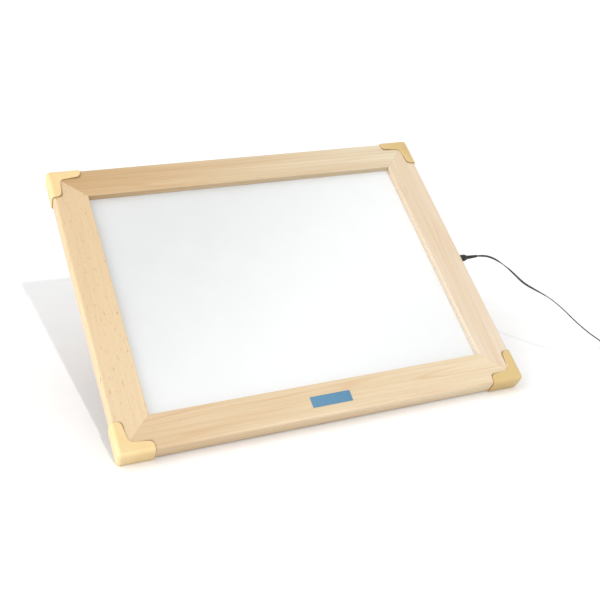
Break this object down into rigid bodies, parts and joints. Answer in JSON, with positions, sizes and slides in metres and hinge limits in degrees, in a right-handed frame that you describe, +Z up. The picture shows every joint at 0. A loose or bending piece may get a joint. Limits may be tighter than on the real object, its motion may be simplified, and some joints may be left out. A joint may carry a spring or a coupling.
{
  "type": "light box",
  "caption": "Sloping drawing light box: mitred wooden frame with soft corner guards, white lit panel, folding prop at the back and a low-voltage lead with its adapter.",
  "frame": {"origin": "on the surface the box stands on, under the middle of its outer box without the free lead", "axes": "+X to the right along the front rail, +Y from the front edge to the back, +Z up"},
  "size_m": [0.866, 0.488, 0.3064],
  "materials": {
    "beech": "satin lacquer",
    "beech_prop": "satin lacquer",
    "guard_cream": "soft matte",
    "panel_white": "fine satin",
    "guide_acrylic": "polished",
    "film_white": "matte",
    "seal_grey": "matte",
    "board_brown": "smooth hardboard",
    "foam_white": "closed cell foam",
    "lamp_board": "white solder mask",
    "lamp_chip": "phosphor",
    "circuit_green": "solder mask",
    "component_black": "matte",
    "lead_insulation": "satin",
    "label_blue": "plain, blank",
    "jack_black": "satin",
    "button_grey": "satin",
    "zinc_steel": "zinc plated",
    "spring_steel": "bright",
    "nickel": "nickel plated",
    "foot_rubber": "matte",
    "plug_black": "satin",
    "cord_black": "satin",
    "tie_black": "satin",
    "adapter_black": "fine texture"
  },
  "bodies": {
    "tablet": {"board_screws": "zinc_steel", "batten_screws": "zinc_steel", "bracket_screws": "zinc_steel", "mitre_tongues": "beech_prop", "dc_jack": "jack_black", "jack_pin": "nickel", "button_bezel": "jack_black", "switch_body": "component_black", "button_spring": "spring_steel", "front_rail": "beech", "rear_rail": "beech", "left_rail": "beech", "right_rail": "beech", "guard_front_left": "guard_cream", "guard_front_right": "guard_cream", "guard_rear_right": "guard_cream", "guard_rear_left": "guard_cream", "diffuser_panel": "panel_white", "light_guide": "guide_acrylic", "reflector_film": "film_white", "dust_seal": "seal_grey", "back_board": "board_brown", "backing_foam": "foam_white", "led_strip_front": "lamp_board", "leds_front": "lamp_chip", "led_strip_rear": "lamp_board", "leds_rear": "lamp_chip", "control_board": "circuit_green", "board_components": "component_black", "jack_leads": "lead_insulation", "switch_leads": "lead_insulation", "strip_leads": "lead_insulation", "blank_label": "label_blue", "prop_batten": "beech_prop", "pivot_pins": "zinc_steel", "hinge_bracket_left": "zinc_steel", "hinge_bracket_right": "zinc_steel", "dc_plug_barrel": "nickel", "dc_plug_body": "plug_black", "dc_cord": "cord_black", "cord_tail": "cord_black", "cord_coil": "cord_black", "cord_tie": "tie_black", "adapter_body": "adapter_black", "adapter_relief": "adapter_black", "adapter_blades": "nickel"},
    "prop": {"prop_leg_left": "beech_prop", "prop_leg_right": "beech_prop", "prop_crossbar": "beech_prop", "prop_feet": "foot_rubber"},
    "button": {"power_button": "button_grey"}
  },
  "joints": [
    {"name": "prop_fold", "type": "hinge", "parent": "tablet", "child": "prop", "pos_m": [0, 0.1154, 0.2007], "axis": [-1, 0, 0], "range_deg": [0, 63.5]},
    {"name": "button_press", "type": "slide", "parent": "tablet", "child": "button", "axis": [-1, 0, 0], "range_m": [0, 0.0012], "stiffness_N_per_m": 800, "springref_m": -0.001, "deforming": ["button_spring"]}
  ]
}
